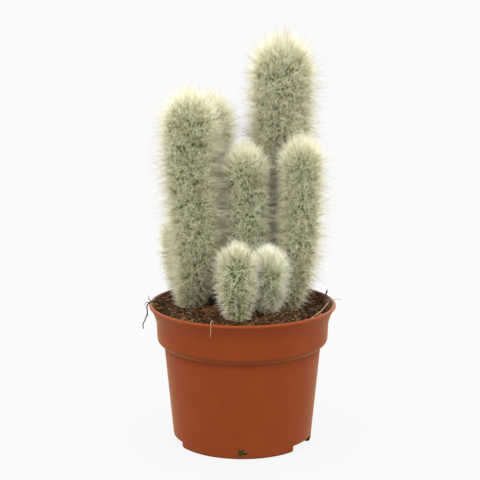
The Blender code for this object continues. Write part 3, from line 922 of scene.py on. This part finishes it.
def tapered(line, kinds, least, more, rng):
    """A thread of one of these kinds, half as wide at its end. The radii are in mm."""
    kind = kinds[int(rng.integers(len(kinds)))]
    width = np.linspace(1.0, 0.5, len(line)) * (least + more * rng.random()) * MM
    return thread(line, width, fibre_row(kind, rng))


def loose_fibres(ground, rng):
    """Fibres that lie all over the soil."""
    found = []
    for count, kind, length, width in LOOSE_FIBRES:
        for place in scatter(ground, count, rng, 0.3 * MM, 0.96):
            angle = rng.random() * math.tau
            heading = (*polar(1.0, angle), 0.15 * rng.normal())
            size = length * (0.35 + 0.9 * rng.random()) * MM
            start = place + np.array([0, 0, 0.25 * MM + 0.5 * MM * rng.random()])
            line = curl(start, heading, size, 0.48, 10, rng)
            radius = np.linspace(1.0, 0.5, len(line)) * width * MM * (0.7 + 0.6 * rng.random())
            if np.hypot(line[:, 0], line[:, 1]).max() <= ground.edge - 0.3 * MM:
                found.append(thread(line, radius, fibre_row(kind, rng)))
    return found


def rim_fibres(ground, rng):
    """Roots that have crept up the inside of the wall, most of them at the left and the right."""
    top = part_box("pot")[1].z
    found = []
    for middle, reach, count in RIM_FIBRES:
        for _ in range(count):
            angle = middle + reach * rng.normal()
            climb = rng.random()
            height = ground.high.z - 1.5 * MM + climb * (top - ground.high.z)
            start = (*polar(ground.edge - 0.4 * MM + climb * 1.2 * MM, angle), height)
            turned_to = angle + math.pi / 2 * (1 if rng.random() < 0.5 else -1)
            heading = (*polar(1.0, turned_to), 0.5 * rng.normal())
            line = curl(start, heading, (2.5 + 4.0 * rng.random()) * MM, 0.3, 8, rng)
            limit = ground.edge + climb * 1.4 * MM
            line[:, :2] *= np.minimum(1.0, limit / np.hypot(line[:, 0], line[:, 1]))[:, None]
            found.append(tapered(line, ("coir", "red", "dark"), 0.10, 0.10, rng))
    return found


def root_mass(ground, rng):
    """The dry root mat that shows between the left stem and the front one."""
    feet = dict(zip(COATS, ground.feet))
    left, front = np.array(feet["stem_left"][:2]), np.array(feet["stem_front"][:2])
    found = []
    for _ in range(ROOT_MAT):
        place = left + (front - left) * (0.35 + 0.3 * rng.random()) + rng.normal(size=2) * 3.2 * MM
        away = np.linalg.norm(place - (left + front) / 2) / (6 * MM)
        height = 3.6 * MM * rng.random() * math.exp(-away ** 2)
        start = (*place, ground.height(*place) + height)
        heading = unit(rng.normal(size=3) * np.array([1, 1, 0.6]))
        line = curl(start, heading, (3.0 + 4.0 * rng.random()) * MM, 0.4, 8, rng)
        line[:, 2] = np.minimum(line[:, 2], ground.high.z + 3.5 * MM)
        found.append(tapered(line, ("coir", "red", "red", "dark"), 0.09, 0.09, rng))
    return found


def make_soil_fibres(ground, material):
    rng = np.random.default_rng(77)
    parts = loose_fibres(ground, rng) + rim_fibres(ground, rng) + root_mass(ground, rng)
    add_piece("soil_fibres", mesh_from("soil_fibres", *joined(parts)), material)


def soil_material():
    nodes = Nodes("peat")
    fine = nodes.noise(650.0, 7.0, 0.75)
    patch = nodes.noise(160.0, 5.0, 0.65)
    colour = nodes.ramp(fine, [
        (0.42, (0.004, 0.002, 0.001)), (0.55, (0.030, 0.013, 0.004)), (0.66, (0.24, 0.12, 0.036)),
    ])
    warm = nodes.ramp(patch, [(0.44, (0.010, 0.005, 0.002)), (0.64, (0.105, 0.045, 0.012))])
    nodes.set(Base_Color=nodes.mix(0.45, colour, warm), Roughness=0.95, Specular_IOR_Level=0.2)
    nodes.bump(fine, 0.8, 0.0006)
    return nodes.owner


def make_soil():
    ground = Ground()
    peat = soil_material()
    fibres = fibre_material()
    make_soil_bed(ground, peat)
    make_crumbs(ground, peat)
    make_soil_fibres(ground, fibres)
    make_root_thread(fibres)
    make_moss(moss_material())


# ---- loose pieces on the soil and the lip

def wobbled(points, amount, rng, samples):
    """A smooth line through the points, with a little unevenness."""
    points = np.asarray(points, float)
    t = np.linspace(0, len(points) - 1, samples)
    line = np.stack([np.interp(t, range(len(points)), points[:, i]) for i in range(3)], axis=1)
    kernel = np.array([1, 2, 3, 2, 1]) / 9
    for i in range(3):
        padded = np.pad(line[:, i], 2, mode="edge")
        line[1:-1, i] = np.convolve(padded, kernel, "valid")[1:-1]
    drift = np.cumsum(rng.normal(size=line.shape), axis=0)
    drift -= np.linspace(0, 1, samples)[:, None] * drift[-1]
    return line + drift / math.sqrt(samples) * amount


def make_root_thread(material):
    """The dark root over the left of the lip, with its rootlets. mm from the lip's left edge."""
    rng = np.random.default_rng(5)
    corner = np.array([-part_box("pot")[1].x, 0.0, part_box("pot")[1].z])
    main = np.array([
        (8.7, 0.0, -4.0), (6.5, -1.0, -0.1), (4.2, -2.0, 1.6), (1.4, -3.2, 1.3), (-0.9, -4.0, -0.5),
        (-1.1, -4.0, -3.0), (-0.7, -4.0, -6.0), (-1.7, -4.0, -9.0), (-3.1, -4.0, -12.2),
        (-3.9, -4.0, -14.5), (-3.7, -4.0, -16.5),
    ])
    line = wobbled(corner + main * MM, 0.3 * MM, rng, 40)
    parts = [thread(line, np.linspace(0.5, 0.3, 40) * MM, fibre_row("dark", rng), 7)]
    for start, heading, length, width in (
        ((1.2, -3.2, 1.1), (0.10, 0.0, 1.0), 5.0, 0.32), ((0.6, -3.4, 0.9), (-1.0, 0.0, 0.25), 4.5, 0.30),
        ((3.6, -2.2, 1.3), (0.8, 0.2, 0.6), 6.0, 0.26), ((5.2, -1.4, 1.1), (0.5, 0.1, 1.0), 4.0, 0.22),
        ((0.0, -3.8, 0.3), (-0.5, -0.3, -0.2), 2.5, 0.24), ((4.2, -2.0, 1.3), (-0.2, 0.3, 1.0), 3.5, 0.20),
        ((-0.9, -4.0, -6.2), (0.35, -0.2, -1.0), 4.5, 0.20),
        ((6.5, -1.0, 0.1), (1.0, 0.1, 0.35), 6.5, 0.24),
    ):
        line = curl(corner + np.array(start) * MM, heading, length * MM, 0.28, 10, rng)
        parts.append(thread(line, np.linspace(width, 0.4 * width, 10) * MM, fibre_row("dark", rng), 5))
    mesh = mesh_from("root_thread_detail", *joined(parts))
    add_piece("root_thread_detail", mesh, material, ["root_thread"])


def make_moss(material):
    """Moss and peat that have grown out of the drain slot at the front."""
    rng = np.random.default_rng(9)
    low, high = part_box("drain_moss")
    centre = np.array([(low.x + high.x) / 2, low.y + 1.1 * MM, FOOT_HEIGHT - 0.2 * MM])
    reach = np.array([SLOT_SIZE[0] / 2, 0.7 * MM, SLOT_SIZE[2] / 2])
    parts = []
    for i in range(MOSS_LUMPS):
        shape, triangles = clod_shape(20 + i % 5)
        place = centre + reach * np.clip(0.55 * rng.normal(size=3), -1.0, 1.0)
        size = (0.35 + 0.45 * rng.random()) * MM
        stretch = 0.7 + 0.6 * rng.random(3)
        parts.append((shape * size * stretch @ random_turns(1, rng)[0].T + place, triangles))
    add_piece("moss_clump", mesh_from("moss_clump", *joined(parts)), material, ["drain_moss"])


def moss_material():
    nodes = Nodes("moss")
    patch = nodes.noise(900.0, 3.0, 0.6)
    colour = nodes.ramp(patch, [
        (0.38, (0.022, 0.014, 0.006)), (0.52, (0.060, 0.055, 0.014)), (0.62, (0.14, 0.13, 0.045)),
        (0.72, (0.22, 0.17, 0.09)),
    ])
    nodes.set(Base_Color=colour, Roughness=0.95, Specular_IOR_Level=0.15)
    nodes.bump(nodes.noise(3000.0, 4.0, 0.7), 0.7, 0.0003)
    return nodes.owner


# ---- stage

def make_floor():
    """A white floor that glows evenly, as a studio sweep does, but not under the pot."""
    bpy.ops.mesh.primitive_plane_add(size=40)
    floor = bpy.context.object
    floor.name = "floor"
    nodes = Nodes("floor")
    seen = nodes.camera_ray()
    away = nodes.add("VectorMath", {0: nodes.place()}, operation="LENGTH").outputs["Value"]
    uncovered = nodes.maths("GREATER_THAN", away, SHADE_RADIUS)
    lit = nodes.add("BsdfDiffuse", {"Color": (0.8, 0.8, 0.8, 1.0)})
    strength = nodes.spread(seen, FLOOR_UNSEEN[0], FLOOR_SEEN[0])
    glow = nodes.add("Emission", {"Color": WHITE, "Strength": strength})
    share = nodes.maths("MULTIPLY", nodes.spread(seen, FLOOR_UNSEEN[1], FLOOR_SEEN[1]), uncovered)
    both = nodes.add("MixShader", {0: share, 1: lit.outputs[0], 2: glow.outputs[0]})
    nodes.feed(nodes.tree.nodes["Material Output"].inputs["Surface"], both.outputs[0])
    floor.data.materials.append(nodes.owner)


def make_world():
    """White to the camera. As a light it is brighter overhead and dimmer towards the front."""
    nodes = Nodes("studio", "worlds")
    direction = nodes.add("TexCoord").outputs["Generated"]
    parts = nodes.add("SeparateXYZ", {"Vector": direction}).outputs
    height = nodes.spread(parts["Z"], WORLD_LOW, WORLD_HIGH)
    front = nodes.spread(parts["Y"], WORLD_FRONT, WORLD_BACK, start=-1.0)
    light = nodes.maths("MULTIPLY", height, front)
    strength = nodes.add("Mix", {0: nodes.camera_ray(), 2: light, 3: BACKDROP})
    back = nodes.tree.nodes["Background"].inputs
    nodes.feed(back["Color"], WHITE)
    nodes.feed(back["Strength"], strength.outputs[0])
    bpy.context.scene.world = nodes.owner


def make_lights():
    for name, place, size, radiance in SOFTBOXES:
        light = bpy.data.lights.new(name, "AREA")
        light.size = size
        light.energy = radiance * math.pi * size * size
        lamp = linked(name, light)
        lamp.location = place
        lamp.rotation_euler = (LIGHT_AIM - Vector(place)).to_track_quat("-Z", "Y").to_euler()


def make_camera():
    data = bpy.data.cameras.new("camera")
    data.lens = CAMERA_LENS
    camera = linked("camera", data)
    camera.location = CAMERA_PLACE
    camera.rotation_euler = (math.radians(CAMERA_TILT), 0.0, 0.0)
    bpy.context.scene.camera = camera


def pot_material():
    """Terracotta plastic, with dried peat and painted shade on its inside, and painted shade in the crease
    under the band.
    """
    nodes = Nodes("pot_plastic")
    cloud = nodes.noise(60.0, 4.0, 0.6)
    clean = nodes.ramp(cloud, [(0.3, (0.219, 0.0415, 0.0112)), (0.7, (0.243, 0.0480, 0.0137))])

    place = nodes.add("TexCoord")  # the inside is where the level normal points to the axis
    level = nodes.add("VectorMath", {0: place.outputs["Normal"], 1: (1.0, 1.0, 0.0)}, operation="MULTIPLY")
    inputs = {0: level.outputs["Vector"], 1: place.outputs["Object"]}
    outward = nodes.add("VectorMath", inputs, operation="DOT_PRODUCT")
    inside = nodes.maths("LESS_THAN", outward.outputs["Value"], -0.01)
    # Dark peat smears over the whole inside, partly real dirt and partly painted shade of the pot's hollow
    smear_and_shade_cover = nodes.ramp(nodes.noise(240.0, 5.0, 0.7), [(0.35, 0.45), (0.6, 0.95)])
    peat_and_shade_colour = nodes.mix(nodes.noise(900.0, 4.0, 0.6), (0.018, 0.007, 0.003), (0.060, 0.024, 0.010))
    smeared_and_shaded = nodes.mix(smear_and_shade_cover, clean, peat_and_shade_colour)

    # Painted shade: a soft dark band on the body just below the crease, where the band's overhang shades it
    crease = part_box("pot")[1].z - BAND_DEPTH - SHOULDER_HEIGHT
    height = nodes.add("SeparateXYZ", {"Vector": place.outputs["Object"]}).outputs["Z"]
    under = nodes.maths("SUBTRACT", crease + 0.4 * MM, height)
    stops = [(0.0, 0.0), (0.06, 0.42), (0.5, 0.20), (1.0, 0.0)]
    painted_shade = nodes.ramp(nodes.maths("DIVIDE", under, 5.5 * MM), stops, "B_SPLINE")
    clean = nodes.mix(painted_shade, clean, (0.10, 0.020, 0.006))
    nodes.set(Base_Color=nodes.mix(inside, clean, smeared_and_shaded), Roughness=0.45, Specular_IOR_Level=0.07)
    nodes.set(Specular_Tint=(1.0, 0.80, 0.50))
    nodes.set(Sheen_Weight=0.22, Sheen_Roughness=0.35, Sheen_Tint=(1.0, 0.74, 0.30))
    return nodes.owner


def plain(name, colour, roughness):
    nodes = Nodes(name)
    fine = nodes.noise(700.0, 4.0, 0.6)
    dark = tuple(0.6 * c for c in colour)
    nodes.set(Base_Color=nodes.ramp(fine, [(0.3, dark), (0.7, colour)]), Roughness=roughness)
    return nodes.owner


def finish_cad_nodes():
    """Colours the pieces that stay as the CAD has them."""
    for name, label, colour, roughness in (
        ("twig", "twig", (0.06, 0.045, 0.03), 0.8), ("straw_fibre", "straw", (0.40, 0.21, 0.075), 0.7),
        ("coir_strand", "coir", (0.50, 0.30, 0.13), 0.7), ("lip_fibre", "lip_fibre", (0.40, 0.35, 0.30), 0.7),
    ):
        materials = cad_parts[name].data.materials
        materials.clear()
        materials.append(plain(label, colour, roughness))


make_stems()
make_pot()
make_soil()
finish_cad_nodes()
make_floor()
make_world()
make_lights()
make_camera()
bpy.context.scene.view_settings.view_transform = "Standard"
